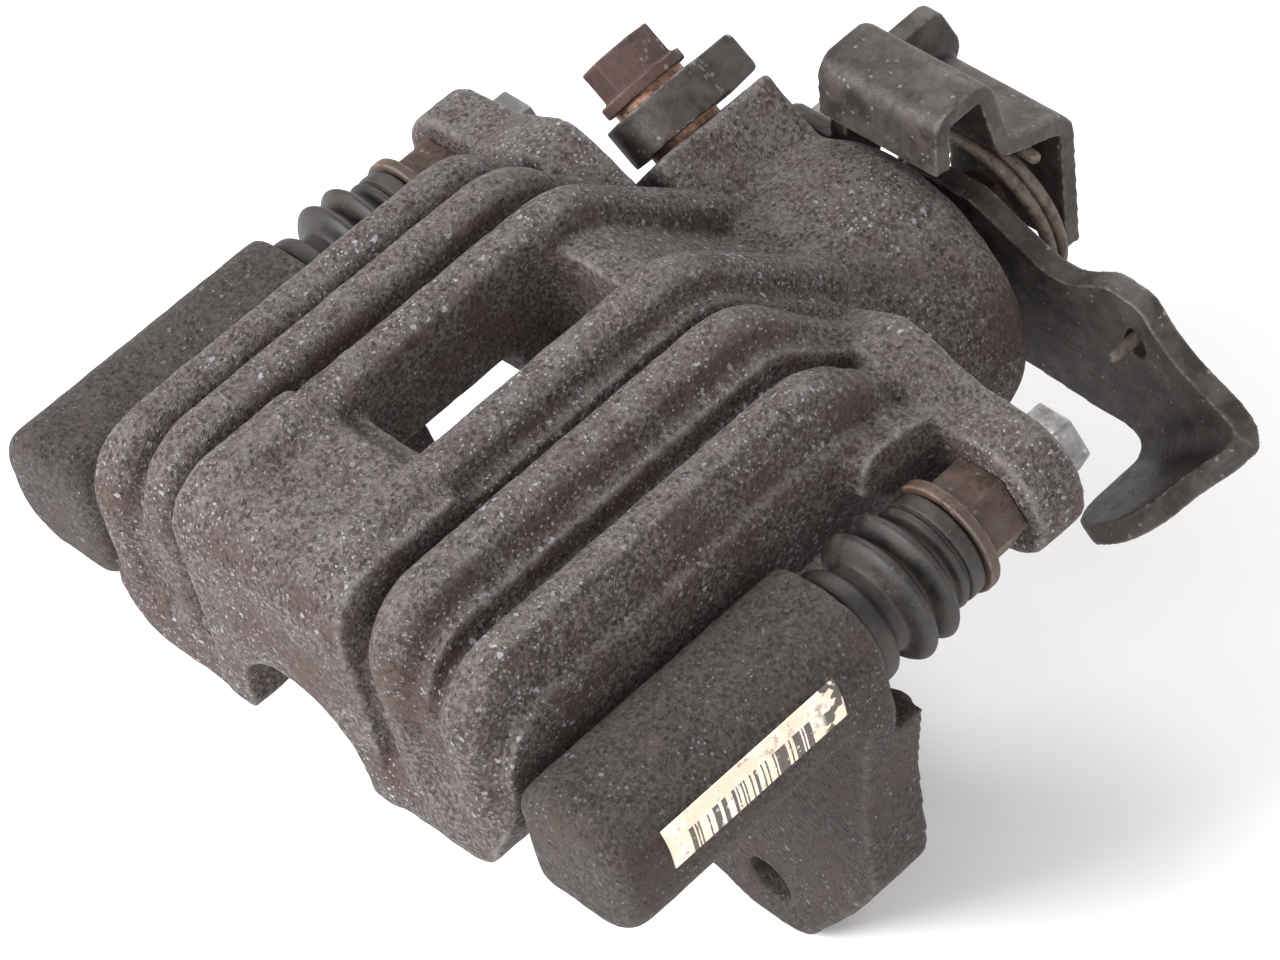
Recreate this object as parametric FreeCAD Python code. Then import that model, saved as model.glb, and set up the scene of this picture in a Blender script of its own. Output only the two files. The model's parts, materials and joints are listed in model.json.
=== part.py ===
import FreeCAD, Part
import math
import os
from FreeCAD import Vector

# Rear floating brake caliper with its carrier and parking-brake lever, in millimetres.
# X runs along the line of the two guide pins, +Y points inboard along the piston axis,
# +Z points away from the axle. The origin is midway between the two carrier bolt holes,
# on the flat inboard face of the carrier's ears. Heights below are written from a level
# EAR_DROP above that origin, and every piece is lifted by EAR_DROP when it is exported.

# ---- driving dimensions -------------------------------------------------------------
PIN_X = 71.0            # half the spacing of the guide pins
PIN_Z = 74.0            # height of the guide pins
EAR_DROP = 8.4          # depth of the carrier bolts under the zero of the heights
PISTON_Z = 50.5         # height of the piston axis
EAR_X = 42.0            # half the spacing of the carrier bolts
EAR_THICKNESS = 15.0
EAR_THREAD_R = 5.0      # M10 thread

ARM_OUT, ARM_IN = -71.0, -6.5   # the carrier arms, along Y
ARM_HALF = 14.0
COLLAR_LENGTH = 4.0
COLLAR_R = 8.5
PAD_SLOTS = ((-20.0, -8.0), (-56.0, -42.0))   # along Y, in the arms' inner faces
PAD_SLOT_Z = 62.0
LABEL_Y, LABEL_Z, LABEL_WIDTH, LABEL_T = (-60.0, -18.0), 74.0, 8.5, 0.3

FACE_Y = -74.0          # outboard face of the fingers
SLOT_OUT, SLOT_IN = -53.0, -2.0  # the slot that takes the disc and both pads
SLOT_ARCH_R = 77.0      # the arched underside of the roof over the disc
SLOT_TOP = 93.0
BEND_Y = 20.0           # where the ribs turn down towards the cylinder
BODY_HALF = 55.5
ROOF_WALL = 23.0

WINDOW_HALF, WINDOW_OUT, WINDOW_IN = 10.5, -37.0, 12.0
ARCH_R, ARCH_Z = 16.0, 61.0
FINGER_Z = 57.0

HOUSING_R, HOUSING_END = 32.5, 85.0
BORE_R = 19.0           # 38 mm piston
BORE_END = 58.0
CHAMBER_R, CHAMBER_END = 12.5, 66.0
SHAFT_R = 6.0
RUNNING = 0.05          # radial clearance of a running fit

PIN_R = 5.0
PIN_END = -58.0
PIN_BORE_END = -69.5
FLANGE_Y, FLANGE_T, FLANGE_R = 21.0, 2.5, 12.0
LUG_OUT, LUG_IN = 33.0, 45.0
LUG_R = 13.0
BOLT_R = 4.0            # M8 guide-pin bolts

PISTON_FRONT, PISTON_BACK = -8.0, 44.0
LEVER_Y, LEVER_T = 90.5, 5.0
FOOT_N = (0.80, 0.60)   # direction of the lever's bend line, in X and Z
FOOT_D = (0.60, -0.80)  # direction from the shaft towards the bend
INLET_ANGLE, INLET_Y = 140.0, 63.5
BLEED_ANGLE, BLEED_Y = 190.0, 62.0

ROOF_STRIPS = (         # (X from, X to, crest height, outboard face, rounding)
    (0.0, 23.0, 108.5, FACE_Y + 1.5, 15.0),
    (22.0, 39.0, 105.0, FACE_Y + 3.5, 15.0),
    (38.0, 50.0, 99.5, FACE_Y + 3.5, 15.0),
    (49.0, BODY_HALF, 94.0, FACE_Y + 5.0, 13.0),
)
RIBS = (                # (X, crest height, half width, slope end Y, slope end Z)
    (14.8, 115.0, 5.0, 55.0, 84.0),
    (30.5, 112.0, 5.0, 50.0, 77.0),
    (47.0, 105.0, 5.5, 47.0, 78.0),
)

ALONG_X = Vector(1, 0, 0)
ALONG_Y = Vector(0, 1, 0)
ORIGIN = Vector(0, 0, 0)


# ---- helpers ------------------------------------------------------------------------
def at_xz(y):
    return lambda a, b: Vector(a, y, b)


def at_yz(x):
    return lambda a, b: Vector(x, a, b)


def rounded_wire(corners, place):
    """A closed outline through corners (a, b) or (a, b, radius); radii become tangent arcs."""
    n = len(corners)
    edges, first, last = [], None, None
    for i, corner in enumerate(corners):
        p = Vector(corner[0], corner[1], 0)
        before = Vector(*corners[i - 1][:2], 0) - p
        after = Vector(*corners[(i + 1) % n][:2], 0) - p
        if len(corner) == 3:
            turn = before.getAngle(after)
            before.normalize()
            after.normalize()
            reach = corner[2] / math.tan(turn / 2)
            start, end = p + before * reach, p + after * reach
            bisector = (before + after).normalize()
            middle = p + bisector * (corner[2] / math.sin(turn / 2) - corner[2])
        else:
            start = end = p
        if last is not None and last.distanceToPoint(start) > 1e-6:
            edges.append(Part.makeLine(place(last.x, last.y), place(start.x, start.y)))
        if len(corner) == 3:
            edges.append(Part.Arc(*(place(q.x, q.y) for q in (start, middle, end))).toShape())
        first = first or start
        last = end
    if last.distanceToPoint(first) > 1e-6:
        edges.append(Part.makeLine(place(last.x, last.y), place(first.x, first.y)))
    return Part.Wire(edges)


def prism_y(corners, y0, y1):
    face = Part.Face(rounded_wire(corners, at_xz(y0)))
    return face.extrude(Vector(0, y1 - y0, 0))


def prism_x(corners, x0, x1):
    face = Part.Face(rounded_wire(corners, at_yz(x0)))
    return face.extrude(Vector(x1 - x0, 0, 0))


def rod(radius, y0, y1, x=0.0, z=0.0):
    """A cylinder along Y."""
    return Part.makeCylinder(radius, y1 - y0, Vector(x, y0, z), ALONG_Y)


def ring(outer, inner, y0, y1, x=0.0, z=0.0):
    return rod(outer, y0, y1, x, z).cut(rod(inner, y0 - 1, y1 + 1, x, z))


def hexagon(across_flats, y0, y1, x=0.0, z=0.0):
    r = across_flats / math.sqrt(3)
    corners = [(x + r * math.cos(math.radians(60 * k)), z + r * math.sin(math.radians(60 * k)))
               for k in range(6)]
    return prism_y(corners, y0, y1)


def turned(profile, x=0.0, z=0.0):
    """A solid turned about the Y-parallel line through (x, z), from (y, radius) points."""
    points = [Vector(x + r, y, z) for y, r in profile]
    face = Part.Face(Part.makePolygon(points + points[:1]))
    return face.revolve(Vector(x, 0, z), ALONG_Y, 360)


def mirrored(shape):
    return shape.mirror(ORIGIN, ALONG_X)


def both_sides(shape):
    return shape.fuse(mirrored(shape))


def pair(shape):
    return Part.makeCompound([shape, mirrored(shape)])


def radial(shape, angle):
    """Turn a shape built straight up from the piston axis so that up becomes angle, in XZ."""
    out = shape.copy()
    out.rotate(Vector(0, 0, PISTON_Z), ALONG_Y, 90 - angle)
    return out


def drum(radius, r0, r1, y):
    """A cylinder standing on the piston axis, from distance r0 to r1."""
    return Part.makeCylinder(radius, r1 - r0, Vector(0, y, PISTON_Z + r0), Vector(0, 0, 1))


def circle_point(radius, angle, y):
    """A point round the piston axis, at an angle in degrees from +X towards +Z."""
    turn = math.radians(angle)
    return Vector(radius * math.cos(turn), y, PISTON_Z + radius * math.sin(turn))


# ---- carrier ------------------------------------------------------------------------
def arm_outline(grow=0.0):
    half = ARM_HALF + grow
    return [(PIN_X - half, PIN_Z + half, 9 + grow), (PIN_X + half, PIN_Z + half, 11 + grow),
            (PIN_X + half, PIN_Z - half, 11 + grow), (PIN_X - half, PIN_Z - half, 5 + grow)]


def carrier_half():
    arm = prism_y(arm_outline(), ARM_OUT, ARM_IN)
    arm = arm.makeFillet(4, [e for e in arm.Edges if e.BoundBox.YMax < ARM_OUT + 0.1])
    yoke_outline = [(0, -17), (26, -17, 12), (33, -21.5, 8), (49, -21.5, 9), (66, -1, 16), (75, 12, 14),
                    (78, 38, 25), (PIN_X + ARM_HALF, 64), (PIN_X + ARM_HALF, 80, 8), (58, 80, 6),
                    (57, 60, 8), (50, 38, 14), (42, 15, 14), (28, 3, 14), (0, 3)]
    yoke = prism_y(yoke_outline, -EAR_THICKNESS, 0)
    collar = ring(COLLAR_R, PIN_R + RUNNING, ARM_IN, ARM_IN + COLLAR_LENGTH, PIN_X, PIN_Z)
    spine = prism_y([(64, 8), (68, 8), (79, 56), (75, 56)], -1, 1.5)
    yoke = yoke.cut(Part.makeBox(40, 10, 40, Vector(PIN_X - 20, ARM_IN, PIN_Z - ARM_HALF - 3)))
    half = arm.fuse([yoke, collar, spine])
    cuts = [rod(PIN_R + RUNNING, PIN_BORE_END, ARM_IN + 9, PIN_X, PIN_Z),
            rod(EAR_THREAD_R, -EAR_THICKNESS - 1, 1, EAR_X, -EAR_DROP)]
    for y0, y1 in PAD_SLOTS:
        cuts.append(Part.makeBox(5, y1 - y0, 12, Vector(PIN_X - ARM_HALF - 1, y0, PAD_SLOT_Z)))
    return half.cut(cuts)


def carrier():
    half = carrier_half()
    return half.fuse(mirrored(half)).removeSplitter()


def pad_clips():
    """Four stainless channels that line the pad slots in the arms."""
    clips = []
    x = PIN_X - ARM_HALF
    for y0, y1 in PAD_SLOTS:
        box = Part.makeBox(4, y1 - y0, 12, Vector(x, y0, PAD_SLOT_Z))
        hollow = Part.makeBox(3.4, y1 - y0 + 2, 10.8, Vector(x, y0 - 1, PAD_SLOT_Z + 0.6))
        lip = Part.makeBox(0.6, y1 - y0, 4.6, Vector(x - 0.6, y0, PAD_SLOT_Z + 11.4))
        clip = box.cut(hollow).fuse(lip)
        clips += [clip, mirrored(clip)]
    return Part.makeCompound(clips)


def barcode_label():
    """A thin paper sticker wrapped over the upper outer edge of one arm."""
    skin = prism_y(arm_outline(LABEL_T), *LABEL_Y).cut(prism_y(arm_outline(), *LABEL_Y))
    reach = Part.makeBox(8, 50, LABEL_WIDTH, Vector(PIN_X + ARM_HALF - 6, LABEL_Y[0], LABEL_Z))
    return skin.common(reach)


# ---- guide pins ---------------------------------------------------------------------
def guide_pin():
    pin = rod(PIN_R, PIN_END, FLANGE_Y, PIN_X, PIN_Z)
    pin = pin.fuse([rod(FLANGE_R, FLANGE_Y, FLANGE_Y + FLANGE_T, PIN_X, PIN_Z),
                    hexagon(17, FLANGE_Y + FLANGE_T, LUG_OUT, PIN_X, PIN_Z)])
    return pin.cut(rod(BOLT_R, FLANGE_Y, LUG_OUT + 1, PIN_X, PIN_Z))


def guide_pin_bolt():
    shank = rod(BOLT_R, FLANGE_Y + 0.5, LUG_IN, PIN_X, PIN_Z)
    flange = turned([(LUG_IN, 0), (LUG_IN, 8.4), (LUG_IN + 1.2, 8.4), (LUG_IN + 2.4, 7), (LUG_IN + 2.4, 0)],
                    PIN_X, PIN_Z)
    head = hexagon(13, LUG_IN + 2, LUG_IN + 7, PIN_X, PIN_Z)
    return shank.fuse([flange, head])


def guide_pin_boot():
    """A rubber bellows from the collar on the arm to the flange of the pin."""
    start, end = ARM_IN + 0.4, FLANGE_Y - 0.4
    outer = [(start, 11.5), (start + 3, 11.5), (start + 4.5, 9.5), (2.2, 10), (5, 13.8), (7.8, 10.4),
             (10.5, 13.8), (13.2, 10), (15.5, 10.8), (end, 10.8)]
    inner = [(end, 6), (13.2, 6.5), (7.8, 7), (2.2, 7), (ARM_IN + 4.4, 6.5), (ARM_IN + 4.4, COLLAR_R + 0.3),
             (start, COLLAR_R + 0.3)]
    return turned(outer + inner, PIN_X, PIN_Z)


# ---- caliper casting ----------------------------------------------------------------
def roof_strip(x0, x1, crest, face_y, rounding, slope_y, slope_z):
    wall_in = [(slope_y - 9, slope_z - 12), (BEND_Y - 9, crest - ROOF_WALL, 14)]
    profile = [(face_y, FINGER_Z), (face_y, crest, rounding), (BEND_Y, crest, 20), (slope_y, slope_z)]
    profile += wall_in + [(SLOT_OUT, crest - ROOF_WALL), (SLOT_OUT, FINGER_Z)]
    return prism_x(profile, x0, x1)


def rib(x, crest, half, slope_y, slope_z):
    """One rib with a fully rounded crest, from the outboard face over the roof to the slope."""
    bar = roof_strip(x - half, x + half, crest, FACE_Y + 1.0, 16.0, slope_y, slope_z)
    crest_edges = [e for e in bar.Edges if e.BoundBox.XLength < 0.1
                   and (e.BoundBox.ZMax > crest - 0.1 or e.BoundBox.YMin < FACE_Y + 1.1)]
    return bar.makeFillet(half * 0.9, crest_edges)


def roof_half():
    parts = [roof_strip(*strip, 52.0, strip[2] - 31) for strip in ROOF_STRIPS]
    parts += [rib(*values) for values in RIBS]
    parts.append(prism_x([(FACE_Y, FINGER_Z), (FACE_Y, 112, 12), (WINDOW_OUT - 4, 112, 3),
                          (WINDOW_OUT - 4, 95), (SLOT_OUT, 95), (SLOT_OUT, FINGER_Z)], 0, 23))
    return parts[0].fuse(parts[1:])


def body_envelope():
    """What the fingers and flanks are trimmed to, seen along the piston axis."""
    outline = [(0, 50), (15, 50), (17, FINGER_Z, 3), (47, FINGER_Z, 8), (54, 70, 12), (BODY_HALF, 80),
               (BODY_HALF, 92, 10), (48, 108, 12), (30, 118), (0, 118)]
    return prism_y(outline, FACE_Y - 1, 60)


def skirt():
    """The plain lower edge of the fingers, into which the ribs run out."""
    profile = [(FACE_Y + 0.8, FINGER_Z), (FACE_Y + 0.8, FINGER_Z + 10, 6), (FACE_Y + 8, FINGER_Z + 26),
               (SLOT_OUT, FINGER_Z + 26), (SLOT_OUT, FINGER_Z)]
    return prism_x(profile, -BODY_HALF, BODY_HALF)


def housing():
    shell = turned([(SLOT_IN, 0), (SLOT_IN, HOUSING_R - 3), (SLOT_IN + 3, HOUSING_R),
                    (HOUSING_END - 9, HOUSING_R), (HOUSING_END - 5, HOUSING_R - 1.2),
                    (HOUSING_END - 1.6, HOUSING_R - 4.2), (HOUSING_END, HOUSING_R - 8),
                    (HOUSING_END, 0)], 0, PISTON_Z)
    boss = Part.makeBox(22, 30, 24, Vector(-11, 50, PISTON_Z + 22))
    bleed_boss = drum(7, 20, 39, BLEED_Y)
    parts = [radial(boss, INLET_ANGLE), radial(bleed_boss, BLEED_ANGLE)]
    for z in BRACKET_BOLT_Z:
        parts.append(rod(7.5, 68, HOUSING_END, BRACKET_BOLT_X, z))
    return shell.fuse(parts)


BRACKET_BOLT_X = -29.0
BRACKET_BOLT_Z = (38.0, 62.0)


def lug():
    """The arm that carries one guide pin, and its web to the casting."""
    outline = [(28, 48, 6), (40, 58, 10), (62, 60, 12), (PIN_X, PIN_Z - LUG_R, 6), (PIN_X + LUG_R, PIN_Z - LUG_R, 12.5),
               (PIN_X + LUG_R, PIN_Z + LUG_R, 12.5), (62, PIN_Z + LUG_R + 1, 8), (44, 96, 10), (28, 88)]
    return prism_y(outline, LUG_OUT, LUG_IN)


def shoulder():
    """The swept shoulder that runs from the outer rib to the lug."""
    outline = [(BEND_Y - 6, 84), (BEND_Y - 4, 92, 6), (BEND_Y + 12, 90, 10), (LUG_IN, 74), (LUG_IN, 62),
               (LUG_OUT, 62)]
    return prism_x(outline, 40, 60)


def caliper_body():
    roof = both_sides(roof_half())
    flanks = both_sides(body_envelope())
    disc_slot = rod(SLOT_ARCH_R, SLOT_OUT, SLOT_IN, 0, SLOT_TOP - SLOT_ARCH_R)
    roof = roof.fuse(skirt()).common(flanks)
    body = roof.fuse([housing(), lug(), mirrored(lug()), shoulder(), mirrored(shoulder())])
    window = Part.makeBox(2 * WINDOW_HALF, WINDOW_IN - WINDOW_OUT, 40,
                          Vector(-WINDOW_HALF, WINDOW_OUT, 84))
    window = window.makeFillet(5, [e for e in window.Edges if e.BoundBox.ZLength > 39])
    cuts = [disc_slot, window, rod(ARCH_R, FACE_Y - 5, SLOT_OUT + 1, 0, ARCH_Z),
            rod(BORE_R, SLOT_IN - 1, BORE_END, 0, PISTON_Z),
            rod(CHAMBER_R, BORE_END - 1, CHAMBER_END, 0, PISTON_Z),
            rod(SHAFT_R + 2, CHAMBER_END - 1, HOUSING_END + 1, 0, PISTON_Z),
            rod(21.5, 8, 11, 0, PISTON_Z), rod(22.5, SLOT_IN - 1, 2, 0, PISTON_Z),
            rod(20, 53.4, 55.1, 0, PISTON_Z),
            rod(9.5, 81, HOUSING_END + 1, 0, PISTON_Z),
            radial(drum(5, 15, 47, INLET_Y), INLET_ANGLE),
            radial(drum(2, 15, 40, BLEED_Y), BLEED_ANGLE),
            radial(drum(3.5, 26, 40, BLEED_Y), BLEED_ANGLE)]
    for z in BRACKET_BOLT_Z:
        cuts.append(rod(BOLT_R, 70, HOUSING_END + 1, BRACKET_BOLT_X, z))
    for side in (-1, 1):
        cuts.append(rod(BOLT_R + 0.2, LUG_OUT - 1, LUG_IN + 1, side * PIN_X, PIN_Z))
        cuts.append(rod(FLANGE_R + 1.5, BEND_Y - 5, LUG_OUT, side * PIN_X, PIN_Z))
    return body.cut(cuts)


# ---- hydraulic fittings -------------------------------------------------------------
BOSS_FACE = 46.0        # the machined inlet face, from the piston axis
WASHER_T = 1.5
EYE_T = 9.0
EYE_BLOCK = 18.0


def banjo_washers():
    washers = []
    for r0 in (BOSS_FACE, BOSS_FACE + WASHER_T + EYE_T):
        disc = drum(8, r0, r0 + WASHER_T, INLET_Y).cut(drum(5.1, r0 - 1, r0 + 3, INLET_Y))
        washers.append(radial(disc, INLET_ANGLE))
    return Part.makeCompound(washers)


def banjo_fitting():
    """The hose end: an eye round the bolt with a short block that the hose was crimped into."""
    r0 = BOSS_FACE + WASHER_T
    eye = drum(11.5, r0, r0 + EYE_T, INLET_Y)
    block = Part.makeBox(15, EYE_BLOCK, EYE_T, Vector(-7.5, INLET_Y, PISTON_Z + r0))
    block = block.makeFillet(2, [e for e in block.Edges if e.BoundBox.YMin > INLET_Y + 1])
    bore = Part.makeCylinder(2.6, EYE_BLOCK, Vector(0, INLET_Y + 4, PISTON_Z + r0 + EYE_T / 2), ALONG_Y)
    shape = eye.fuse([block]).cut([drum(5.2, r0 - 1, r0 + EYE_T + 1, INLET_Y), bore])
    return radial(shape, INLET_ANGLE)


def banjo_bolt():
    top = BOSS_FACE + 2 * WASHER_T + EYE_T
    shank = drum(5, 30, top, INLET_Y)
    collar = drum(9.5, top, top + 2.5, INLET_Y)
    head = hexagon(14, 0, 8)
    head.rotate(ORIGIN, ALONG_X, 90)
    head.translate(Vector(0, INLET_Y, PISTON_Z + top + 2))
    shape = shank.fuse([collar, head])
    gallery = drum(1.6, 29, BOSS_FACE + WASHER_T + EYE_T / 2, INLET_Y)
    cross = Part.makeCylinder(1.4, 12, Vector(-6, INLET_Y, PISTON_Z + BOSS_FACE + WASHER_T + EYE_T / 2),
                              ALONG_X)
    return radial(shape.cut([gallery, cross]), INLET_ANGLE)


def bleed_screw():
    parts = [drum(3.5, 27, 40, BLEED_Y), drum(5.4, 40, 44, BLEED_Y), drum(2.8, 44, 51, BLEED_Y)]
    return radial(parts[0].fuse(parts[1:]).cut(drum(1, 30, 52, BLEED_Y)), BLEED_ANGLE)


def bleed_cap():
    cap = drum(4.2, 44.5, 53.5, BLEED_Y).cut(drum(2.85, 43, 51.2, BLEED_Y))
    return radial(cap, BLEED_ANGLE)


# ---- piston and adjuster ------------------------------------------------------------
def piston():
    outside = turned([(PISTON_FRONT, 0), (PISTON_FRONT, 17.5), (PISTON_FRONT + 1.5, BORE_R - RUNNING),
                      (PISTON_BACK - 1, BORE_R - RUNNING), (PISTON_BACK, BORE_R - 1), (PISTON_BACK, 0)],
                     0, PISTON_Z)
    cuts = [rod(14.5, 0, PISTON_BACK + 1, 0, PISTON_Z), ring(20, 17.4, -5.5, -3, 0, PISTON_Z),
            ring(15.6, 14, 28, 29.6, 0, PISTON_Z),
            Part.makeBox(40, 1.5, 3, Vector(-20, PISTON_FRONT, PISTON_Z - 1.5)),
            Part.makeBox(3, 1.5, 40, Vector(-1.5, PISTON_FRONT, PISTON_Z - 20))]
    return outside.cut(cuts)


def piston_seal():
    return ring(21.4, BORE_R, 8.1, 10.9, 0, PISTON_Z)


def piston_dust_boot():
    profile = [(1.7, 22.2), (-2.4, 22.2), (-3.2, 23.6), (-4.0, 21.2), (-5.3, 22.4), (-6.6, 20.2),
               (-6.6, 19.3), (-4.4, 19.3), (-1.2, 20.2), (1.7, 20.2)]
    return turned(profile, 0, PISTON_Z)


def adjuster_nut():
    body = turned([(4, 0), (4, 9), (8, 13.5), (14, 13.5), (16, 9), (22, 9), (22, 0)], 0, PISTON_Z)
    return body.cut(rod(PIN_R + RUNNING, 3, 23, 0, PISTON_Z))


def thrust_bearing():
    return ring(13.5, 9.3, 18, 21, 0, PISTON_Z)


def clutch_spring():
    """A wave washer that keeps the adjuster nut seated."""
    return ring(13, 10, 22.4, 26.8, 0, PISTON_Z)


def nut_circlip():
    clip = ring(15.5, 12.6, 28.1, 29.5, 0, PISTON_Z)
    return clip.cut(Part.makeBox(6, 4, 8, Vector(-3, 27, PISTON_Z + 10)))


RAMP_R, BALL_R = 7.6, 2.4
PUSH_PLATE_IN, RAMP_PLATE_OUT = 56.0, 57.6


def ball_centre(k, y):
    return circle_point(RAMP_R, 120 * k + 90, y)


BALL_Y = (PUSH_PLATE_IN + RAMP_PLATE_OUT) / 2


def adjuster_spindle():
    shape = rod(PIN_R, 8, 52, 0, PISTON_Z).fuse(rod(11, 52, PUSH_PLATE_IN, 0, PISTON_Z))
    groove = Part.makeTorus(RAMP_R, BALL_R + 0.12, Vector(0, BALL_Y, PISTON_Z), ALONG_Y)
    flats = Part.makeBox(30, 6, 4, Vector(-15, 51, PISTON_Z + 9.5))
    return shape.cut([groove, flats])


def spindle_o_ring():
    return Part.makeTorus(5.9, 0.9, Vector(0, 48.4, PISTON_Z), ALONG_Y)


def ramp_balls():
    return Part.makeCompound([Part.makeSphere(BALL_R, ball_centre(k, BALL_Y)) for k in range(3)])


def spring_cage():
    tube = ring(13.6, 12.6, 35, 57, 0, PISTON_Z)
    lip = ring(13.6, 6.5, 34, 35, 0, PISTON_Z)
    rim = ring(18.6, 12.6, 55.3, 57, 0, PISTON_Z)
    return tube.fuse([lip, rim])


def cage_circlip():
    clip = ring(19.8, 16.6, 53.5, 55, 0, PISTON_Z)
    return clip.cut(Part.makeBox(8, 4, 8, Vector(-4, 52, PISTON_Z + 13)))


def bent_wire(points, radius):
    """A round wire along a chain of points, with round knuckles where it turns."""
    sweep = Part.BRepOffsetAPI.MakePipeShell(Part.makePolygon(points))
    sweep.setFrenetMode(False)
    sweep.setTransitionMode(2)
    sweep.add(Part.Wire([Part.makeCircle(radius, points[0], points[1] - points[0])]))
    sweep.build()
    sweep.makeSolid()
    return sweep.shape()


def coil_points(mean_r, pitch, y0, turns, start_angle=0.0):
    """Points along a coil about the piston axis, from y0 inboard, 18 to a turn."""
    count = round(18 * turns)
    return [circle_point(mean_r, start_angle - 360 * turns * k / count, y0 + pitch * turns * k / count)
            for k in range(count + 1)]


def spindle_spring():
    return bent_wire(coil_points(9.4, 3.1, 36.2, 4.6), 0.9)


# ---- lever side ---------------------------------------------------------------------
def lever_shaft():
    shape = rod(11, RAMP_PLATE_OUT, 62, 0, PISTON_Z).fuse(
        [rod(SHAFT_R, 62, LEVER_Y, 0, PISTON_Z), rod(4, LEVER_Y, 104, 0, PISTON_Z),
         hexagon(10, LEVER_Y, LEVER_Y + LEVER_T - 0.3, 0, PISTON_Z)])
    pockets = [Part.makeSphere(BALL_R + 0.05, ball_centre(k, BALL_Y)) for k in range(3)]
    return shape.cut(pockets)


def shaft_bush():
    return ring(SHAFT_R + 2, SHAFT_R + RUNNING, CHAMBER_END + 1, 81, 0, PISTON_Z)


def shaft_seal():
    """The rubber seal of the lever shaft, with its dust lip outside the housing."""
    seal = turned([(81, 0), (81, 9.5), (HOUSING_END, 9.5), (HOUSING_END, 13), (87, 14), (90, 11.5), (90, 0)],
                  0, PISTON_Z)
    return seal.cut(rod(SHAFT_R + RUNNING, 80, 91, 0, PISTON_Z))


def thrust_washer():
    return ring(11, SHAFT_R + 0.3, 62.2, 65.8, 0, PISTON_Z)


def in_lever_axes(n, d, y):
    """A point from its distances along the bend line and away from the shaft."""
    return Vector(n * FOOT_N[0] + d * FOOT_D[0], y, n * FOOT_N[1] + d * FOOT_D[1])


FOOT_OUTER, BEND_R, FOOT_END = 17.0, 9.0, 66.0
SPRING_Y = LEVER_Y + LEVER_T + 1.6


def parking_lever():
    """A thick pressed lever whose far end is bent over into a foot for the cable."""
    back = LEVER_Y + LEVER_T
    section = [(-90, LEVER_Y), (FOOT_OUTER - LEVER_T, LEVER_Y, BEND_R - LEVER_T),
               (FOOT_OUTER - LEVER_T, FOOT_END - 2), (FOOT_OUTER, FOOT_END - 2),
               (FOOT_OUTER, back, BEND_R), (-90, back)]
    bent = Part.Face(rounded_wire(section, lambda d, y: in_lever_axes(-20, d, y)))
    bent = bent.extrude(in_lever_axes(120, 0, 0))
    outline = [(-14.5, 57, 10), (-8, 67, 8), (10, 67, 8), (31, 56, 12), (44, 63.5, 5), (53, 62.5, 5),
               (58, 53, 25), (69, 46, 20), (81, 38, 4), (66, 12, 3), (50, 8), (47, 25, 7), (34, 25, 12),
               (12, 27, 14), (-10, 34, 12)]
    blank = prism_y(outline, FOOT_END - 5, back + 1)
    foot_outline = [(-25, back + 1), (-25, LEVER_Y - 4), (46, LEVER_Y - 4), (50, 84, 4), (51, FOOT_END, 11),
                    (76, FOOT_END, 11), (78, 80, 10), (84, 90, 12), (100, back + 1)]
    trim = Part.Face(rounded_wire(foot_outline, lambda n, y: in_lever_axes(n, -100, y)))
    trim = trim.extrude(in_lever_axes(0, 200, 0))
    lever = bent.common(blank).common(trim)
    tear = prism_y([(45, 44, 2.5), (53, 50, 3), (50, 60, 2)], LEVER_Y - 1, back + 1)
    return lever.cut([tear, hexagon(10.1, LEVER_Y - 1, back + 1, 0, PISTON_Z)])


def lever_washer():
    back = LEVER_Y + LEVER_T
    return ring(9, 4.1, back, back + 1.6, 0, PISTON_Z)


def lever_nut():
    y0 = LEVER_Y + LEVER_T + 1.6
    return hexagon(13, y0, y0 + 6.5, 0, PISTON_Z).cut(rod(4, y0 - 1, y0 + 8, 0, PISTON_Z))


def return_spring():
    """The torsion spring behind the lever; one leg hooks through the hole in the lever."""
    mean_r = 18.5
    hooked = Vector(49.0, SPRING_Y, PISTON_Z + 1)
    reach = hooked - Vector(0, SPRING_Y, PISTON_Z)
    start_angle = math.degrees(math.atan2(reach.z, reach.x) - math.acos(mean_r / reach.Length))
    end_angle = 75.0
    turns = 3 + (start_angle - end_angle) / 360
    coil = coil_points(mean_r, 2.85, SPRING_Y, turns, start_angle)
    rest = coil[-1] + circle_point(9, end_angle - 90, 0) - Vector(0, 0, PISTON_Z)
    return bent_wire([hooked - Vector(0, 13, 0), hooked, *coil, rest], 1.4)


# ---- cable bracket ------------------------------------------------------------------
BRACKET_X0, BRACKET_X1, BRACKET_T = -16.0, 15.0, 4.0


def thick_strip(points, radii, thickness, x0, x1):
    """A bent strip: an open line of (y, z) points, thickened to its left and run along X."""
    def offset(i):
        a, b = Vector(*points[max(i - 1, 0)], 0), Vector(*points[i], 0)
        c = Vector(*points[min(i + 1, len(points) - 1)], 0)
        into = (b - a).normalize() if i else (c - b).normalize()
        out = (c - b).normalize() if i < len(points) - 1 else into
        left = Vector(-(into + out).y, (into + out).x, 0).normalize()
        reach = thickness / math.sqrt((1 + into.dot(out)) / 2)
        side = into.x * out.y - into.y * out.x
        return b + left * reach, side
    near, far = [], []
    for i, point in enumerate(points):
        moved, side = offset(i)
        if i in (0, len(points) - 1):
            near.append(point)
            far.append((moved.x, moved.y))
        else:
            inner = radii if side > 0 else radii + thickness
            outer = radii + thickness if side > 0 else radii
            near.append((*point, outer if side > 0 else inner - thickness))
            far.append((moved.x, moved.y, inner if side > 0 else outer + thickness))
    return prism_x(near + far[::-1], x0, x1)


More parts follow.
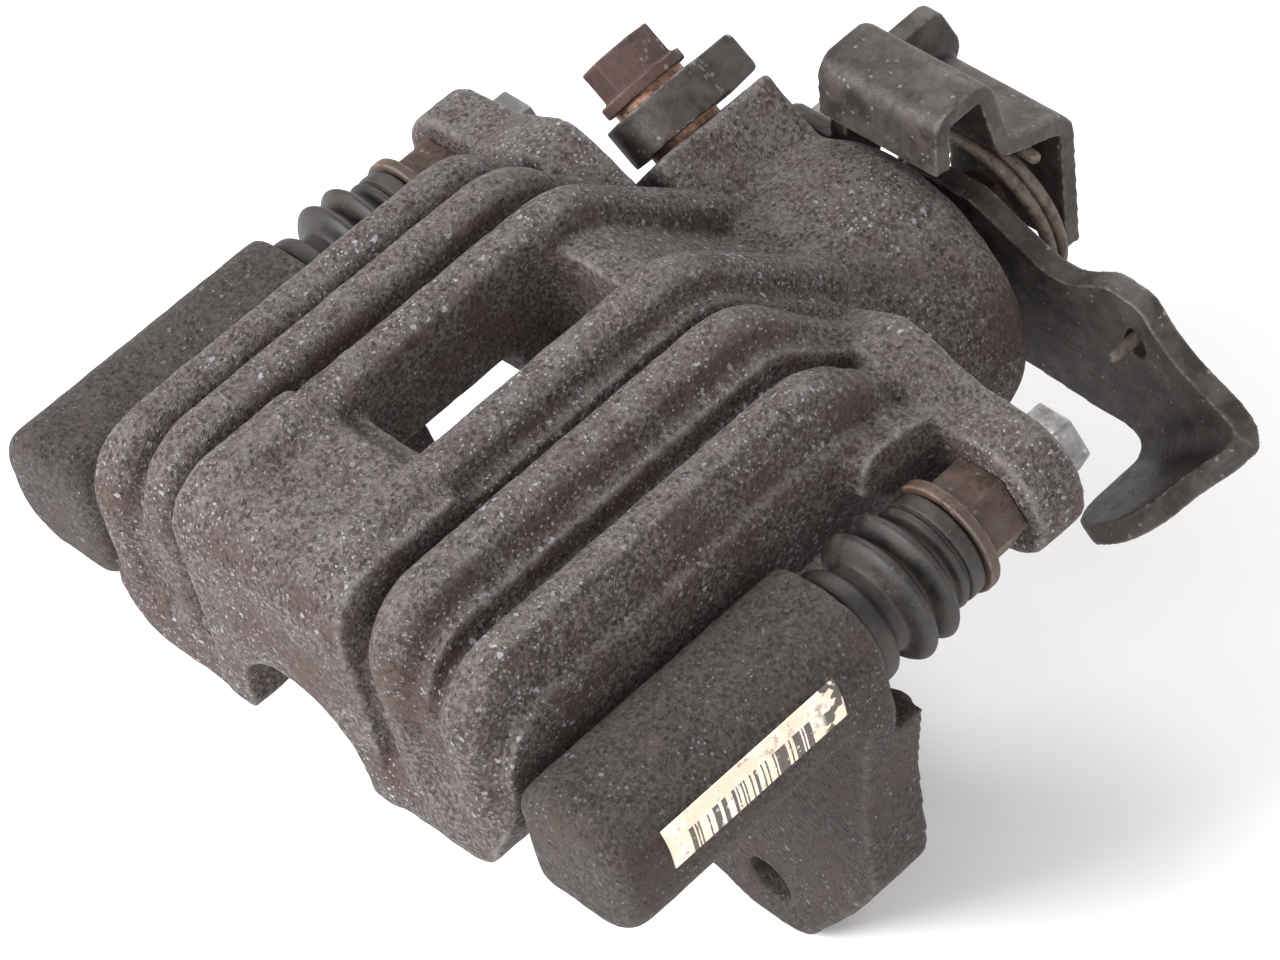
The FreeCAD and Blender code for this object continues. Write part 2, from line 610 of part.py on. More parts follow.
def cable_bracket():
    """A thick steel bracket with a folded saddle, a stop flange and a bolted foot."""
    points = [(84.3, 82.8), (86, 92), (94, 92), (96, 75.5), (111.5, 69.5), (107.5, 42)]
    saddle = thick_strip(points, 1.5, BRACKET_T, BRACKET_X0, BRACKET_X1)
    flange_outline = [(85, 54), (89, 54), (96, 70, 4), (112, 66, 6), (118, 72, 4), (114, 84, 4), (92, 84, 14),
                      (85, 74, 8)]
    flange = prism_x(flange_outline, BRACKET_X0 - 4.5, BRACKET_X0)
    foot_outline = [(BRACKET_X0, 54, 2), (BRACKET_X0, 70, 2), (-24, 71, 6), (-37, 71, 7), (-37, 29, 7),
                    (-22, 29, 6), (-22, 46, 4)]
    foot = prism_y(foot_outline, HOUSING_END, HOUSING_END + 4)
    foot = foot.cut(rod(25.5, HOUSING_END - 1, HOUSING_END + 5, 0, PISTON_Z))
    shape = saddle.fuse([flange, foot])
    return shape.cut([rod(BOLT_R + 0.2, HOUSING_END - 1, HOUSING_END + 5, BRACKET_BOLT_X, z)
                      for z in BRACKET_BOLT_Z])


def bracket_bolts():
    bolts = []
    top = HOUSING_END + 4
    for z in BRACKET_BOLT_Z:
        shank = rod(BOLT_R, 72, top, BRACKET_BOLT_X, z)
        bolts.append(shank.fuse([rod(6.6, top, top + 1.2, BRACKET_BOLT_X, z),
                                 hexagon(11, top + 1, top + 5, BRACKET_BOLT_X, z)]))
    return Part.makeCompound(bolts)


# ---- the nodes ----------------------------------------------------------------------
NODES = {
    "carrier": carrier,
    "pad_clips": pad_clips,
    "barcode_label": barcode_label,
    "guide_pin_boots": lambda: pair(guide_pin_boot()),
    "caliper_body": caliper_body,
    "guide_pins": lambda: pair(guide_pin()),
    "guide_pin_bolts": lambda: pair(guide_pin_bolt()),
    "banjo_bolt": banjo_bolt,
    "banjo_fitting": banjo_fitting,
    "banjo_washers": banjo_washers,
    "bleed_screw": bleed_screw,
    "bleed_cap": bleed_cap,
    "cable_bracket": cable_bracket,
    "bracket_bolts": bracket_bolts,
    "piston_seal": piston_seal,
    "piston_dust_boot": piston_dust_boot,
    "shaft_bush": shaft_bush,
    "shaft_seal": shaft_seal,
    "thrust_washer": thrust_washer,
    "spring_cage": spring_cage,
    "cage_circlip": cage_circlip,
    "spindle_spring": spindle_spring,
    "return_spring": return_spring,
    "piston": piston,
    "adjuster_nut": adjuster_nut,
    "thrust_bearing": thrust_bearing,
    "clutch_spring": clutch_spring,
    "nut_circlip": nut_circlip,
    "adjuster_spindle": adjuster_spindle,
    "spindle_o_ring": spindle_o_ring,
    "lever_shaft": lever_shaft,
    "ramp_balls": ramp_balls,
    "parking_lever": parking_lever,
    "lever_washer": lever_washer,
    "lever_nut": lever_nut,
}

os.makedirs("parts", exist_ok=True)
for name, build in NODES.items():
    piece = build()
    piece.translate(Vector(0, 0, EAR_DROP))
    piece.exportStep(f"parts/{name}.step")
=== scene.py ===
import json
import math

import bmesh
import bpy
from mathutils import Matrix, Vector


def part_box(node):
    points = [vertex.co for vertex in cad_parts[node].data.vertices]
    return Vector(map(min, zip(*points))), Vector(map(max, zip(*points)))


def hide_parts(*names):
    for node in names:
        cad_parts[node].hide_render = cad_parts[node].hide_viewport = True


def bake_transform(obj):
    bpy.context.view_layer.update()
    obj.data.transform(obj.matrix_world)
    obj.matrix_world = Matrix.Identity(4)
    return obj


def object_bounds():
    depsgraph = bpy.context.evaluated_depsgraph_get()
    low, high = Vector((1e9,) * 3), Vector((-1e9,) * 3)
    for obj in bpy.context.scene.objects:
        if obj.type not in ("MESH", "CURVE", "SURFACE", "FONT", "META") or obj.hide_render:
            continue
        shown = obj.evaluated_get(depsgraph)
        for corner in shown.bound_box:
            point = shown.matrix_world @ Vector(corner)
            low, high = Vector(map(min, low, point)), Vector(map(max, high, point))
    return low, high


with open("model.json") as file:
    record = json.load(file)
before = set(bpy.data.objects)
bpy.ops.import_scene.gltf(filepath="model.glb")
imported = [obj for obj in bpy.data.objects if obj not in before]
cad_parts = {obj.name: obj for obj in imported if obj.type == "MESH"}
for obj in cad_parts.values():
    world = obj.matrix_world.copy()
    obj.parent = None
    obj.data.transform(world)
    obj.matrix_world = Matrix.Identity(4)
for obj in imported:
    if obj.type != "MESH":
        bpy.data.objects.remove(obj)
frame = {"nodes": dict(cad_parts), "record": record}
cad_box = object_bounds()
nodes = frame["nodes"]
MM = 0.001

# ---- places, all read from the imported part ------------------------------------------
BORE_LOW, BORE_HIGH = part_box("piston")
BOOT_LOW, BOOT_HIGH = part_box("guide_pin_boots")
SPRING_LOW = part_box("return_spring")[0]
LABEL_LOW, LABEL_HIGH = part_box("barcode_label")
PISTON_Z = (BORE_LOW.z + BORE_HIGH.z) / 2
BOOT_Z = (BOOT_LOW.z + BOOT_HIGH.z) / 2
BOOT_R = (BOOT_HIGH.z - BOOT_LOW.z) / 2
PIN_X = BOOT_HIGH.x - BOOT_R
HOOK_X, HOOK_RISE, HOOK_DEPTH = 49.0, 1.0, 13.0    # mm: where the spring's leg goes through the lever


# ---- mesh helpers -------------------------------------------------------------------
def new_object(name, mesh_data):
    piece = bpy.data.objects.new(name, mesh_data)
    bpy.context.scene.collection.objects.link(piece)
    for polygon in mesh_data.polygons:
        polygon.use_smooth = True
    return piece


def rounded(points, steps):
    """A closed smooth line (Catmull-Rom) through the given 2-D points."""
    out = []
    n = len(points)
    for i in range(n):
        p0, p1, p2, p3 = (Vector(points[(i + k - 1) % n]) for k in range(4))
        for s in range(steps):
            t = s / steps
            out.append(0.5 * ((2 * p1) + (p2 - p0) * t + (2 * p0 - 5 * p1 + 4 * p2 - p3) * t * t
                              + (3 * p1 - p0 - 3 * p2 + p3) * t ** 3))
    return out


def turned(name, profile, x, z, segments=96):
    """A closed solid turned about the Y-parallel line through (x, z); profile is (y, radius)."""
    bm = bmesh.new()
    rings = []
    for k in range(segments):
        turn = 2 * math.pi * k / segments
        rings.append([bm.verts.new((x + r * math.cos(turn), y, z + r * math.sin(turn))) for y, r in profile])
    for k, ring in enumerate(rings):
        following = rings[(k + 1) % segments]
        for i in range(len(profile)):
            j = (i + 1) % len(profile)
            bm.faces.new((ring[i], ring[j], following[j], following[i]))
    bmesh.ops.recalc_face_normals(bm, faces=bm.faces)
    mesh_data = bpy.data.meshes.new(name)
    bm.to_mesh(mesh_data)
    bm.free()
    return new_object(name, mesh_data)


def wire(name, points, radius, sides=14):
    """A round wire along a line of points, with domed ends."""
    bm = bmesh.new()
    points = [Vector(p) for p in points]
    tangents = [(points[min(i + 1, len(points) - 1)] - points[max(i - 1, 0)]).normalized()
                for i in range(len(points))]
    across = tangents[0].orthogonal().normalized()
    rings = []
    for p, tangent in zip(points, tangents):
        across = (across - tangent * across.dot(tangent)).normalized()
        up = tangent.cross(across)
        rings.append((p, tangent, across.copy(), up))
    sections = []
    start, finish = rings[0], rings[-1]
    for angle in (75, 45, 20):
        turn = math.radians(angle)
        sections.append((start[0] - start[1] * radius * math.sin(turn), start, radius * math.cos(turn)))
    sections += [(r[0], r, radius) for r in rings]
    for angle in (20, 45, 75):
        turn = math.radians(angle)
        sections.append((finish[0] + finish[1] * radius * math.sin(turn), finish, radius * math.cos(turn)))
    loops = []
    for centre, (_, _, across, up), r in sections:
        loops.append([bm.verts.new(centre + (across * math.cos(2 * math.pi * k / sides)
                                             + up * math.sin(2 * math.pi * k / sides)) * r)
                      for k in range(sides)])
    for a, b in zip(loops, loops[1:]):
        for k in range(sides):
            bm.faces.new((a[k], a[(k + 1) % sides], b[(k + 1) % sides], b[k]))
    bm.faces.new(loops[0][::-1])
    bm.faces.new(loops[-1])
    bmesh.ops.recalc_face_normals(bm, faces=bm.faces)
    mesh_data = bpy.data.meshes.new(name)
    bm.to_mesh(mesh_data)
    bm.free()
    return new_object(name, mesh_data)


# ---- procedural materials -----------------------------------------------------------
class Paint:
    """Builds one procedural material, node by node, in the part's own coordinates."""

    def __init__(self, name):
        self.material = bpy.data.materials.new(name)
        self.material.use_nodes = True
        self.tree = self.material.node_tree
        self.shader = self.tree.nodes["Principled BSDF"]
        coordinates = self.node("ShaderNodeTexCoord")
        self.where, self.facing = coordinates.outputs["Object"], coordinates.outputs["Normal"]

    def node(self, kind, settings=None, **inputs):
        made = self.tree.nodes.new(kind)
        for key, value in (settings or {}).items():
            setattr(made, key, value)
        for key, value in inputs.items():
            self.put(made.inputs[key.replace("_", " ")], value)
        return made

    def put(self, socket, value):
        if isinstance(value, bpy.types.NodeSocket):
            self.tree.links.new(value, socket)
        elif isinstance(value, tuple) and socket.type == "RGBA":
            socket.default_value = (*value, 1.0)
        else:
            socket.default_value = value

    def math(self, operation, a, b=0.0):
        made = self.tree.nodes.new("ShaderNodeMath")
        made.operation = operation
        self.put(made.inputs[0], a)
        self.put(made.inputs[1], b)
        return made.outputs[0]

    def noise(self, size_mm, detail=4.0, roughness=0.55):
        made = self.node("ShaderNodeTexNoise", Vector=self.where, Scale=1000.0 / size_mm,
                         Detail=detail, Roughness=roughness)
        return made.outputs[0]

    def step(self, value, low, high):
        """0 below low, 1 above high, smooth between."""
        made = self.node("ShaderNodeMapRange", {"interpolation_type": "SMOOTHSTEP"}, Value=value)
        made.inputs["From Min"].default_value = low
        made.inputs["From Max"].default_value = high
        return made.outputs[0]

    def mix(self, share, a, b):
        made = self.node("ShaderNodeMix", {"data_type": "RGBA", "blend_type": "MIX"})
        self.put(made.inputs[0], share)
        self.put(made.inputs[6], a)
        self.put(made.inputs[7], b)
        return made.outputs[2]

    def wobbled(self, size_mm, reach_mm):
        """The coordinates, pushed about by noise, so that cells get ragged edges."""
        push = self.node("ShaderNodeTexNoise", Vector=self.where, Scale=1000.0 / size_mm, Detail=2.0)
        centred = self.node("ShaderNodeVectorMath", {"operation": "SUBTRACT"})
        self.put(centred.inputs[0], push.outputs["Color"])
        centred.inputs[1].default_value = (0.5, 0.5, 0.5)
        scaled = self.node("ShaderNodeVectorMath", {"operation": "SCALE"})
        self.put(scaled.inputs[0], centred.outputs[0])
        scaled.inputs["Scale"].default_value = reach_mm * MM
        moved = self.node("ShaderNodeVectorMath", {"operation": "ADD"})
        self.put(moved.inputs[0], self.where)
        self.put(moved.inputs[1], scaled.outputs[0])
        return moved.outputs[0]

    def flecks(self, size_mm, radius, share):
        """Scattered ragged spots; share is how many of the cells hold one."""
        cells = self.node("ShaderNodeTexVoronoi", Vector=self.wobbled(size_mm * 0.6, size_mm * 0.9),
                          Scale=1000.0 / size_mm)
        spot = self.step(cells.outputs["Distance"], radius, radius * 0.55)
        split = self.node("ShaderNodeSeparateColor", Color=cells.outputs["Color"])
        chosen = self.step(split.outputs[0], 1.0 - share, 1.0 - share + 0.12)
        return self.math("MULTIPLY", spot, chosen)

    def edges(self, low, high):
        return self.step(self.node("ShaderNodeNewGeometry").outputs["Pointiness"], low, high)

    def upward(self, low, high):
        return self.step(self.node("ShaderNodeSeparateXYZ", Vector=self.facing).outputs["Z"], low, high)

    def axis(self, name):
        return self.node("ShaderNodeSeparateXYZ", Vector=self.where).outputs[name]

    def finish(self, colour, roughness, metallic=0.0, height=None, depth_mm=0.2, specular=0.5):
        self.put(self.shader.inputs["Base Color"], colour)
        self.put(self.shader.inputs["Roughness"], roughness)
        self.put(self.shader.inputs["Metallic"], metallic)
        self.shader.inputs["Specular IOR Level"].default_value = specular
        if height is not None:
            bump = self.node("ShaderNodeBump", Height=height, Distance=depth_mm * MM)
            self.tree.links.new(bump.outputs[0], self.shader.inputs["Normal"])
        return self.material


def cast_surface(name, dark, light, rust, fleck, fleck_share, worn_edge_and_top_highlight, edge_wear_and_highlight_share):
    """Weathered sand-cast iron: mottled brown, rust patches, pale flecks and rubbed crests, with a painted
    highlight on upward-facing faces and painted shade in creases.
    """
    paint = Paint(name)
    patches = paint.noise(14.0, 5.0, 0.6)
    grain = paint.noise(0.95, 4.0, 0.75)
    fine = paint.noise(0.40, 2.0, 0.6)
    base = paint.mix(paint.step(grain, 0.42, 0.60), dark, light)
    rusty = paint.math("MULTIPLY", paint.step(patches, 0.44, 0.62),
                       paint.math("SUBTRACT", 1.0, paint.math("MULTIPLY", paint.upward(0.3, 0.95), 0.75)))
    base = paint.mix(paint.math("MULTIPLY", rusty, 0.75), base, rust)
    # painted highlight: upward-facing surfaces lightened towards the crest grey, in noisy patches
    painted_top_highlight = paint.math("MULTIPLY", paint.upward(0.35, 0.95), paint.step(paint.noise(5.0, 4.0, 0.7), 0.35, 0.65))
    base = paint.mix(paint.math("MULTIPLY", painted_top_highlight, edge_wear_and_highlight_share * 0.30), base, worn_edge_and_top_highlight)
    pits = paint.flecks(1.3, 0.42, 0.40)
    base = paint.mix(paint.math("MULTIPLY", pits, 0.65), base, tuple(c * 0.5 for c in dark))
    # rubbed edges: real wear on convex edges, in the same crest grey
    worn = paint.math("MULTIPLY", paint.edges(0.505, 0.56),
                      paint.step(paint.noise(2.2, 4.0, 0.7), 0.30, 0.60))
    base = paint.mix(paint.math("MULTIPLY", worn, edge_wear_and_highlight_share), base, worn_edge_and_top_highlight)
    # painted shade: concave creases and recesses darkened towards a deep brown
    painted_crease_shade = paint.edges(0.495, 0.43)
    base = paint.mix(paint.math("MULTIPLY", painted_crease_shade, 0.55), base, tuple(c * 0.35 for c in dark))
    streaks = paint.flecks(1.9, 0.34, fleck_share)
    points = paint.flecks(0.85, 0.40, fleck_share * 1.4)
    near = paint.step(paint.noise(22.0, 3.0), 0.38, 0.62)
    spots = paint.math("MULTIPLY", paint.math("MAXIMUM", streaks, points),
                       paint.math("ADD", paint.math("MULTIPLY", near, 0.7), 0.25))
    base = paint.mix(paint.math("MULTIPLY", spots, 0.85), base, fleck)
    height = paint.math("ADD", paint.math("MULTIPLY", grain, 0.9), paint.math("MULTIPLY", fine, 0.5))
    height = paint.math("ADD", height, paint.math("MULTIPLY", spots, 0.45))
    height = paint.math("SUBTRACT", height, paint.math("MULTIPLY", pits, 0.6))
    roughness = paint.math("SUBTRACT", 0.78, paint.math("MULTIPLY", worn, 0.28))
    return paint.finish(base, roughness, 0.0, height, 0.9, 0.45)


def steel_surface(name, dark, light, rust, rust_share, edge, metallic, roughness, depth_mm=0.12):
    """Bare or plated steel that has aged: mottling, rust bloom and bright rubbed edges."""
    paint = Paint(name)
    cloud = paint.noise(6.0, 5.0, 0.62)
    grain = paint.noise(0.7, 3.0, 0.6)
    base = paint.mix(paint.step(cloud, 0.35, 0.68), dark, light)
    bloom = paint.step(paint.noise(3.2, 6.0, 0.68), 0.64 - 0.3 * rust_share, 0.78 - 0.3 * rust_share)
    base = paint.mix(paint.math("MULTIPLY", bloom, 0.85), base, rust)
    base = paint.mix(paint.math("MULTIPLY", paint.step(grain, 0.55, 0.75), 0.35), base, light)
    worn = paint.math("MULTIPLY", paint.edges(0.51, 0.57),
                      paint.step(paint.noise(1.8, 3.0, 0.7), 0.3, 0.6))
    base = paint.mix(paint.math("MULTIPLY", worn, 0.8), base, edge)
    specks = paint.flecks(1.3, 0.34, 0.16)
    base = paint.mix(paint.math("MULTIPLY", specks, 0.6), base, edge)
    shine = paint.math("SUBTRACT", roughness + 0.22, paint.math("MULTIPLY", grain, 0.25))
    shine = paint.math("ADD", shine, paint.math("MULTIPLY", bloom, 0.12))
    height = paint.math("ADD", paint.math("MULTIPLY", grain, 0.6), paint.math("MULTIPLY", bloom, 0.5))
    shade = paint.math("MULTIPLY", paint.math("SUBTRACT", 1.0, bloom), metallic)
    return paint.finish(base, shine, shade, height, depth_mm)


def rubber_surface():
    """Black rubber with brown dust lying in the folds and in patches."""
    paint = Paint("rubber_skin")
    dusty = paint.math("MULTIPLY", paint.step(paint.noise(5.0, 5.0, 0.65), 0.38, 0.70), 0.55)
    dusty = paint.math("MAXIMUM", dusty, paint.math("MULTIPLY", paint.edges(0.49, 0.43), 0.8))
    base = paint.mix(dusty, (0.013, 0.012, 0.012), (0.072, 0.052, 0.043))
    base = paint.mix(paint.math("MULTIPLY", paint.flecks(0.9, 0.35, 0.10), 0.5), base, (0.16, 0.13, 0.11))
    fine = paint.noise(0.35, 3.0, 0.6)
    roughness = paint.math("ADD", 0.50, paint.math("MULTIPLY", dusty, 0.35))
    return paint.finish(base, roughness, 0.0, fine, 0.08, 0.5)


def label_surface():
    """A weathered paper label with plain bars, stained and torn at one end."""
    paint = Paint("label_paper_skin")
    size = LABEL_HIGH - LABEL_LOW
    along = paint.math("DIVIDE", paint.math("SUBTRACT", paint.axis("Y"), LABEL_LOW.y), size.y)
    height = paint.math("DIVIDE", paint.math("SUBTRACT", paint.axis("Z"), LABEL_LOW.z), size.z)
    paper = paint.mix(paint.step(paint.noise(4.0, 5.0, 0.7), 0.40, 0.62),
                      (0.80, 0.66, 0.50), (0.86, 0.80, 0.70))
    stain = paint.math("MULTIPLY", paint.step(paint.noise(2.0, 5.0, 0.75), 0.52, 0.68), 0.75)
    paper = paint.mix(stain, paper, (0.30, 0.16, 0.09))
    cells = paint.math("FLOOR", paint.math("MULTIPLY", along, 118.0))
    chance = paint.node("ShaderNodeTexWhiteNoise", {"noise_dimensions": "1D"}, W=cells).outputs["Value"]
    bars = paint.math("GREATER_THAN", chance, 0.47)
    bars = paint.math("MULTIPLY", bars, paint.math("GREATER_THAN", along, 0.10))
    bars = paint.math("MULTIPLY", bars, paint.math("LESS_THAN", along, 0.83))
    bars = paint.math("MULTIPLY", bars, paint.math("LESS_THAN", height, 0.66))
    bars = paint.math("MULTIPLY", bars, paint.step(paint.noise(1.2, 3.0), 0.28, 0.42))
    printed = paint.mix(paint.math("MULTIPLY", bars, 0.92), paper, (0.045, 0.035, 0.035))
    torn = paint.math("MULTIPLY", paint.step(along, 0.86, 0.90),
                      paint.step(paint.noise(3.4, 2.0), 0.50, 0.53))
    colour = paint.mix(torn, printed, (0.10, 0.085, 0.075))
    return paint.finish(colour, 0.7, 0.0, paint.noise(1.0, 3.0), 0.12)


MATERIALS = {
    # crest colour and share: used both for real rubbed edges and for a painted highlight on upward faces
    "caliper_iron": cast_surface(
        "caliper_iron_skin", dark=(0.040, 0.028, 0.025), light=(0.150, 0.122, 0.116),
        rust=(0.060, 0.030, 0.023), fleck=(0.42, 0.42, 0.46), fleck_share=0.26,
        worn_edge_and_top_highlight=(0.270, 0.255, 0.255), edge_wear_and_highlight_share=0.75),
    "carrier_iron": cast_surface(
        "carrier_iron_skin", dark=(0.018, 0.013, 0.012), light=(0.068, 0.053, 0.048),
        rust=(0.050, 0.029, 0.021), fleck=(0.24, 0.26, 0.31), fleck_share=0.13,
        worn_edge_and_top_highlight=(0.125, 0.106, 0.098), edge_wear_and_highlight_share=0.55),
    "rubber": rubber_surface(),
    "pin_steel": steel_surface(
        "pin_steel_skin", dark=(0.040, 0.027, 0.021), light=(0.098, 0.072, 0.058),
        rust=(0.078, 0.042, 0.028), rust_share=0.7, edge=(0.22, 0.18, 0.15), metallic=0.35, roughness=0.45),
    "zinc_steel": steel_surface(
        "zinc_steel_skin", dark=(0.17, 0.165, 0.16), light=(0.36, 0.355, 0.35),
        rust=(0.12, 0.09, 0.07), rust_share=0.25, edge=(0.60, 0.60, 0.60), metallic=0.6, roughness=0.42),
    "copper": steel_surface(
        "copper_skin", dark=(0.13, 0.065, 0.040), light=(0.26, 0.14, 0.09),
        rust=(0.08, 0.045, 0.03), rust_share=0.4, edge=(0.45, 0.27, 0.19), metallic=0.7, roughness=0.42),
    "stainless_clip": steel_surface(
        "stainless_skin", dark=(0.17, 0.165, 0.155), light=(0.32, 0.31, 0.30),
        rust=(0.10, 0.07, 0.05), rust_share=0.2, edge=(0.55, 0.54, 0.53), metallic=0.8, roughness=0.32,
        depth_mm=0.05),
    "rusty_steel": steel_surface(
        "rusty_steel_skin", dark=(0.034, 0.020, 0.018), light=(0.082, 0.050, 0.042),
        rust=(0.066, 0.030, 0.022), rust_share=0.9, edge=(0.20, 0.155, 0.14), metallic=0.2, roughness=0.55),
    "label_paper": label_surface(),
    "lever_steel": steel_surface(
        "lever_steel_skin", dark=(0.030, 0.024, 0.022), light=(0.082, 0.070, 0.065),
        rust=(0.050, 0.033, 0.026), rust_share=0.45, edge=(0.27, 0.245, 0.235), metallic=0.35,
        roughness=0.45),
    "bronze": steel_surface(
        "bronze_skin", dark=(0.18, 0.12, 0.06), light=(0.32, 0.23, 0.12),
        rust=(0.10, 0.07, 0.04), rust_share=0.3, edge=(0.50, 0.38, 0.22), metallic=0.8, roughness=0.38),
}


def dress(piece, slot):
    piece.data.materials.clear()
    piece.data.materials.append(MATERIALS[slot])


# ---- the CAD nodes: material, and softened edges ------------------------------------
def soften(piece, voxel_mm, passes, wave_mm=0.0):
    """Rounds a CAD piece as a casting or forging is, with a faint unevenness."""
    remesh = piece.modifiers.new("cast", "REMESH")
    remesh.mode, remesh.voxel_size, remesh.use_smooth_shade = "VOXEL", voxel_mm * MM, True
    smooth = piece.modifiers.new("soft", "SMOOTH")
    smooth.factor, smooth.iterations = 0.5, passes
    if wave_mm:
        texture = bpy.data.textures.new(piece.name + "_waves", "CLOUDS")
        texture.noise_scale, texture.noise_depth = 0.0045, 3
        waves = piece.modifiers.new("waves", "DISPLACE")
        waves.texture, waves.texture_coords = texture, "LOCAL"
        waves.strength, waves.mid_level = wave_mm * MM, 0.75


def bevel(piece, width_mm):
    edge = piece.modifiers.new("edge", "BEVEL")
    edge.width, edge.segments, edge.limit_method = width_mm * MM, 3, "ANGLE"
    edge.angle_limit, edge.harden_normals = math.radians(35), False


SOFTENED = {                # node: (voxel in mm, smoothing passes, waviness in mm)
    "caliper_body": (0.8, 16, 0.5),
    "carrier": (0.9, 9, 0.35),
    "parking_lever": (0.5, 6, 0.12),
    "cable_bracket": (0.5, 5, 0.12),
    "banjo_fitting": (0.4, 5, 0.12),
    "banjo_bolt": (0.35, 4, 0.15),
    "guide_pins": (0.4, 3, 0.08),
    "guide_pin_bolts": (0.35, 3, 0.05),
    "lever_nut": (0.35, 4, 0.1),
    "bracket_bolts": (0.35, 3, 0.05),
    "bleed_cap": (0.3, 5, 0.0),
}
slots = {entry["node"]: entry["material_slot"] for entry in frame["record"]["subparts"]}
for node_name, node in nodes.items():
    dress(node, slots[node_name])
    if node_name in SOFTENED:
        soften(node, *SOFTENED[node_name])
    elif node_name != "barcode_label":
        bevel(node, 0.25)


# ---- rubber boots and the return spring ---------------------------------------------
def pin_boot(name, x):
    """The bellows between an arm of the carrier and the flange of a guide pin."""
    length = BOOT_HIGH.y - BOOT_LOW.y
    outer = [(0.0, 0.80), (0.03, 0.86), (0.12, 0.86), (0.165, 0.80), (0.20, 0.70), (0.27, 0.685),
             (0.31, 0.72), (0.35, 0.90), (0.405, 0.995), (0.46, 0.93), (0.505, 0.74), (0.535, 0.73),
             (0.57, 0.88), (0.625, 0.985), (0.68, 0.90), (0.725, 0.71), (0.76, 0.695), (0.79, 0.78), (0.83, 0.80),
             (0.845, 0.74), (0.87, 0.74), (0.885, 0.80), (0.96, 0.80), (1.0, 0.76)]
    inner = [(1.0, 0.46), (0.85, 0.46), (0.72, 0.52), (0.62, 0.74), (0.52, 0.56), (0.41, 0.76), (0.30, 0.54),
             (0.19, 0.60), (0.14, 0.64), (0.0, 0.64)]
    profile = [(BOOT_LOW.y + a * length, r * BOOT_R) for a, r in rounded(outer + inner, 4)]
    boot = turned(name, profile, x, BOOT_Z)
    dress(boot, "rubber")
    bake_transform(boot)
    return boot


def dust_boot():
    """The piston's rubber boot: a bead in the housing, one fold, and a lip in the piston's groove."""
    profile = [(1.7, 22.2), (-0.5, 22.3), (-2.2, 22.3), (-3.1, 23.5), (-3.7, 23.3), (-4.1, 21.5),
               (-4.8, 21.4), (-5.3, 22.2), (-5.9, 22.0), (-6.5, 20.4), (-6.5, 19.4), (-5.6, 19.3),
               (-4.6, 19.4), (-3.4, 20.6), (-1.2, 20.4), (1.7, 20.3)]
    boot = turned("piston_boot_skin", [(y * MM, r * MM) for y, r in rounded(profile, 3)], 0.0, PISTON_Z)
    dress(boot, "rubber")
    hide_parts("piston_dust_boot")
    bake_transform(boot)


def coil_points(mean_r, first, turns, start_y, pitch):
    """Points along a coil about the piston axis, starting at the angle first and running inboard."""
    count = int(turns * 48)
    angles = [first - 2 * math.pi * turns * k / count for k in range(count + 1)]
    return [Vector((mean_r * math.cos(a), start_y + pitch * turns * k / count,
                    PISTON_Z + mean_r * math.sin(a))) for k, a in enumerate(angles)]


def spindle_spring():
    """The coil spring inside the cage, which shortens as the spindle is pushed out."""
    radius, mean_r, pitch, turns = 0.9 * MM, 9.4 * MM, 3.1 * MM, 4.6
    start_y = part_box("spindle_spring")[0].y + radius
    spring = wire("spindle_coil", coil_points(mean_r, 0.0, turns, start_y, pitch), radius)
    dress(spring, "stainless_clip")
    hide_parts("spindle_spring")
    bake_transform(spring)


def return_spring():
    """The torsion spring behind the lever, hooked through the lever's hole."""
    radius, mean_r, pitch = 1.35 * MM, 18.5 * MM, 2.85 * MM
    start_y = SPRING_LOW.y + HOOK_DEPTH * MM + radius
    hook = Vector((HOOK_X * MM, start_y, PISTON_Z + HOOK_RISE * MM))
    reach = Vector((hook.x, 0, hook.z - PISTON_Z))
    first = math.atan2(reach.z, reach.x) - math.acos(mean_r / reach.length)
    turns = 2 + (first - math.radians(75) + 2 * math.pi) / (2 * math.pi)
    points = [hook - Vector((0, y * MM, 0)) for y in (12.4, 9, 6, 3, 1.2)]
    points.append(hook + Vector((-0.4, -0.3, 0)) * MM)
    coil = coil_points(mean_r, first, turns, start_y, pitch)
    points += [hook.lerp(coil[0], t) for t in (0.08, 0.3, 0.6, 0.85)]
    points += coil
    away = (coil[-1] - coil[-2]).normalized()
    points += [coil[-1] + away * step * MM for step in (2, 5, 8)]
    spring = wire("lever_spring", points, radius)
    dress(spring, "pin_steel")
    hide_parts("return_spring")
    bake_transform(spring)


near_boot = pin_boot("pin_boot_a", PIN_X)
pin_boot("pin_boot_b", -PIN_X)
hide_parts("guide_pin_boots")
dust_boot()
spindle_spring()
return_spring()


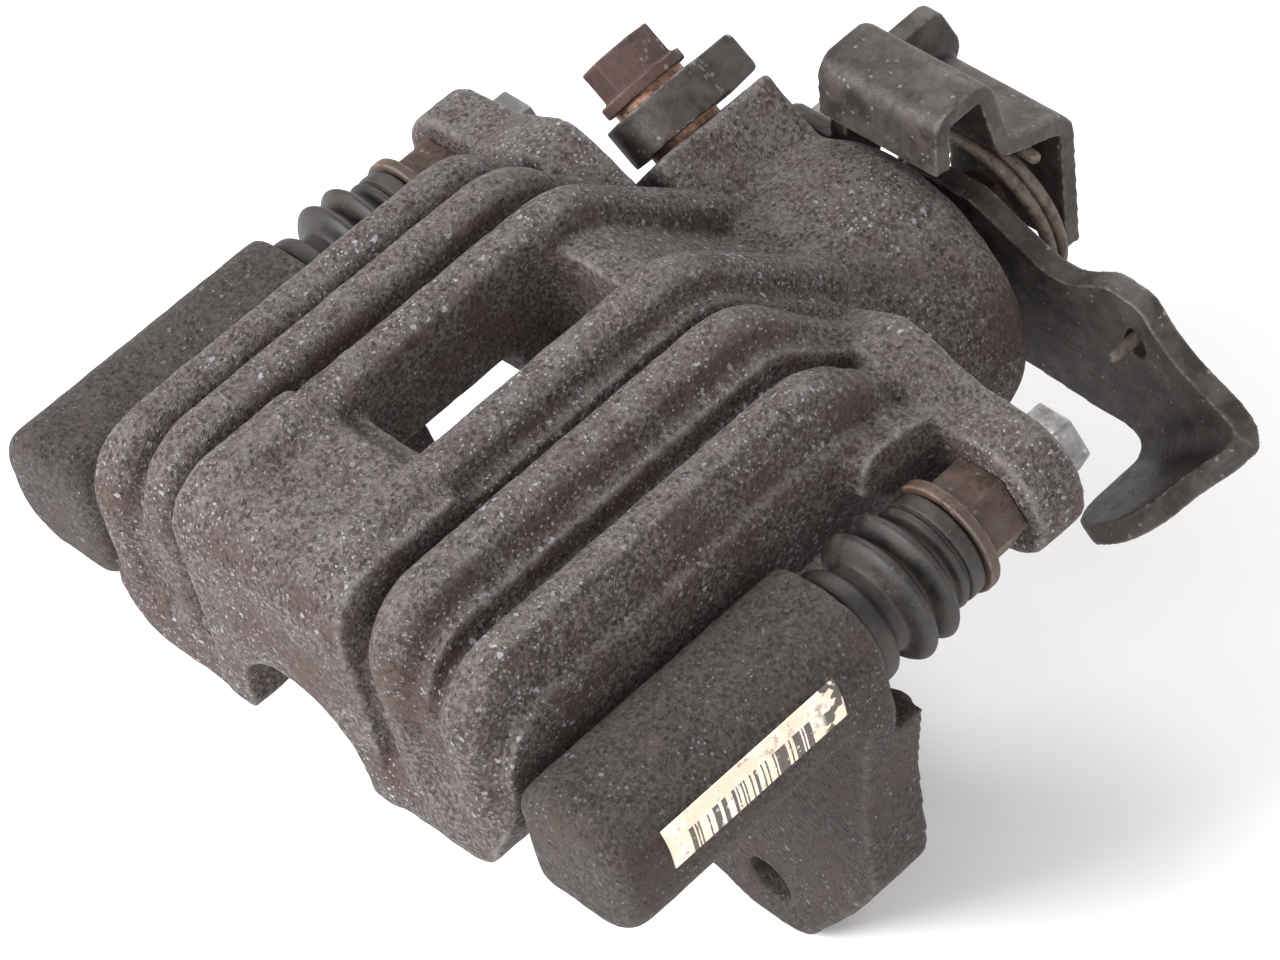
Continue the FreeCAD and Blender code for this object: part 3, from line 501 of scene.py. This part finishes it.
# ---- floor, light and camera --------------------------------------------------------
def floor():
    bm = bmesh.new()
    bmesh.ops.create_grid(bm, x_segments=1, y_segments=1, size=6.0)
    mesh_data = bpy.data.meshes.new("floor")
    bm.to_mesh(mesh_data)
    bm.free()
    plane = bpy.data.objects.new("floor", mesh_data)
    plane.location.z = cad_box[0][2] - 0.0005
    bpy.context.scene.collection.objects.link(plane)
    paint = Paint("floor_paper")
    tone = paint.mix(paint.noise(400.0, 2.0), (0.93, 0.93, 0.93), (0.95, 0.95, 0.95))
    plane.data.materials.append(paint.finish(tone, 0.9))


def soft_light(name, offset, size, power, target):
    data = bpy.data.lights.new(name, "AREA")
    data.shape, data.size, data.energy = "DISK", size, power
    lamp = bpy.data.objects.new(name, data)
    lamp.location = target + Vector(offset)
    lamp.rotation_euler = (target - lamp.location).to_track_quat("-Z", "Y").to_euler()
    bpy.context.scene.collection.objects.link(lamp)


def world_light(strength):
    world = bpy.data.worlds.new("studio")
    world.use_nodes = True
    background = world.node_tree.nodes["Background"]
    background.inputs["Color"].default_value = (1.0, 1.0, 1.0, 1.0)
    background.inputs["Strength"].default_value = strength
    bpy.context.scene.world = world


def camera():
    right = Vector((0.6850, 0.7026, -0.1925)).normalized()
    ahead = Vector((-0.5870, 0.3760, -0.7170)).normalized()
    down = ahead.cross(right).normalized()
    right = down.cross(ahead)
    data = bpy.data.cameras.new("camera")
    data.lens, data.sensor_width, data.clip_start = 157.5, 36.0, 0.05
    eye = bpy.data.objects.new("camera", data)
    axes = Matrix((right, -down, -ahead)).transposed().to_4x4()
    eye.matrix_world = Matrix.Translation((0.6094, -0.3812, 0.8077)) @ axes
    bpy.context.scene.collection.objects.link(eye)
    bpy.context.scene.camera = eye


centre = Vector([(cad_box[0][k] + cad_box[1][k]) / 2 for k in range(3)])
floor()
soft_light("key", (-0.30, -0.95, 0.75), 0.7, 24.0, centre)
soft_light("rim", (-0.5, 0.9, 0.7), 0.8, 8.0, centre)
soft_light("fill", (1.0, -0.4, 0.5), 1.0, 5.0, centre)
world_light(0.70)
camera()
bpy.context.scene.view_settings.view_transform = "Standard"
